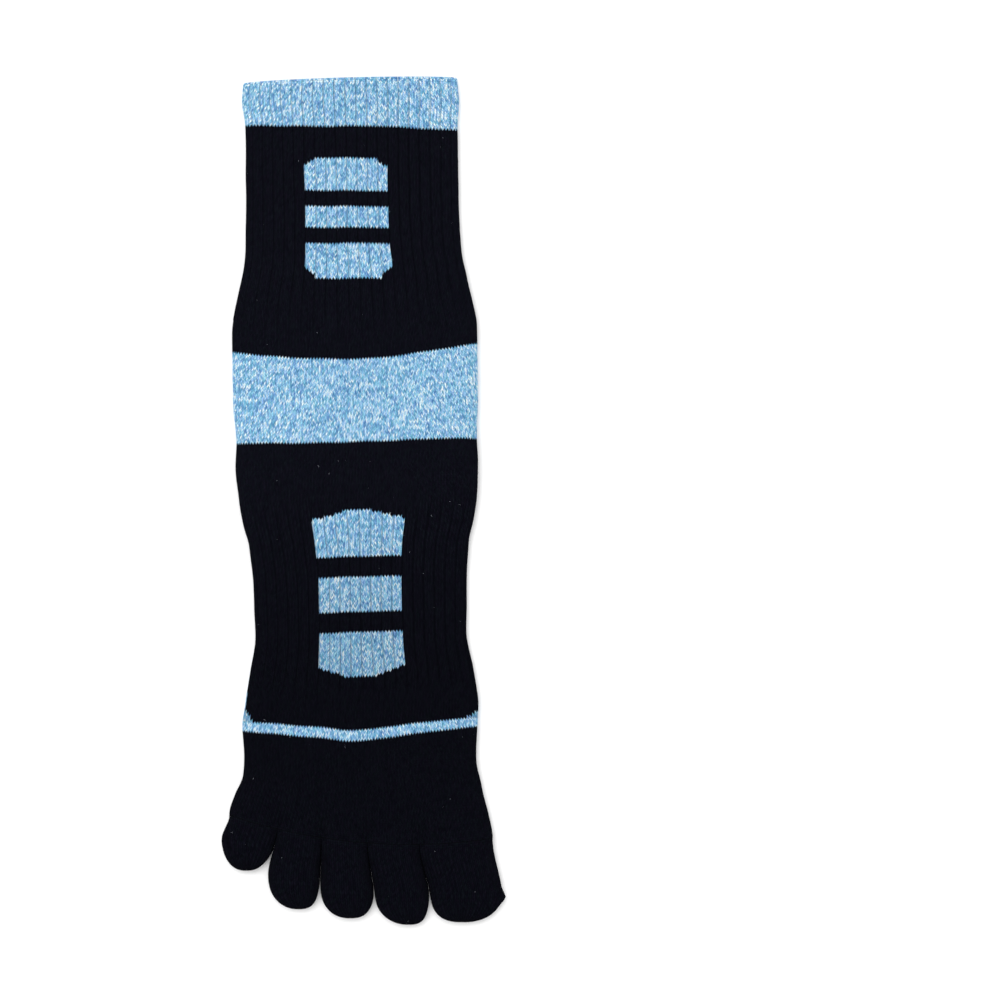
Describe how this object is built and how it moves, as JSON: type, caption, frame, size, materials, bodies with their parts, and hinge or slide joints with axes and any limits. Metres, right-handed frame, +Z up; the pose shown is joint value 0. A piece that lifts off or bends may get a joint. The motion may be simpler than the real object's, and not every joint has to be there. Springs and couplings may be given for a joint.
{
  "type": "toe sock",
  "caption": "Knitted crew-length toe sock lying flat: ribbed cuff and leg, folded heel pouch, ribbed arch, light bars and bands, closed toe pockets.",
  "frame": {"origin": "on the surface that the sock lies on, under the middle of its outline", "axes": "+Y from the toes to the mouth, +X from the little toe to the big toe, +Z up through the instep"},
  "size_m": [0.1118, 0.339, 0.0136],
  "materials": {
    "light_blue_knit": "matte melange knit of light blue and white yarn",
    "black_knit": "matte black knit with a navy cast"
  },
  "bodies": {
    "root": {"cuff": "light_blue_knit", "leg": "black_knit", "heel": "light_blue_knit", "foot": "black_knit", "ball_stripe": "light_blue_knit", "forefoot": "black_knit", "big_toe": "black_knit", "second_toe": "black_knit", "third_toe": "black_knit", "fourth_toe": "black_knit", "little_toe": "black_knit"}
  },
  "joints": []
}
